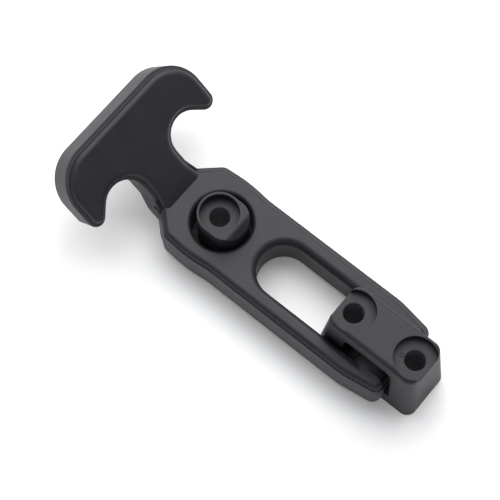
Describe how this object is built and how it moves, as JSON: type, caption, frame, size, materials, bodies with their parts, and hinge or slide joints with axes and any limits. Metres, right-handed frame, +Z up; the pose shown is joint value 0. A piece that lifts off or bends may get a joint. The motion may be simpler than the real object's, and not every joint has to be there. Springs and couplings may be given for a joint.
{
  "type": "rubber T draw latch",
  "caption": "Flexible rubber draw latch with a T handle, a two-screw hinge bracket and a one-screw keeper post.",
  "frame": {"origin": "on the mounting surface, midway between the hinge bracket's two screw holes", "axes": "+X from the bracket towards the T handle, +Z up out of the mounting surface"},
  "size_m": [0.1354, 0.0594, 0.0366],
  "materials": {
    "rubber": "matte",
    "bracket_plastic": "satin"
  },
  "bodies": {
    "root": {"hinge_bracket": "bracket_plastic", "keeper": "bracket_plastic"},
    "strap": {"rubber_body": "rubber"}
  },
  "joints": [
    {"name": "strap_swing", "type": "hinge", "parent": "root", "child": "strap", "pos_m": [-0.0005, 0, 0.00995], "axis": [0, -1, 0], "range_deg": [0, 100]}
  ]
}
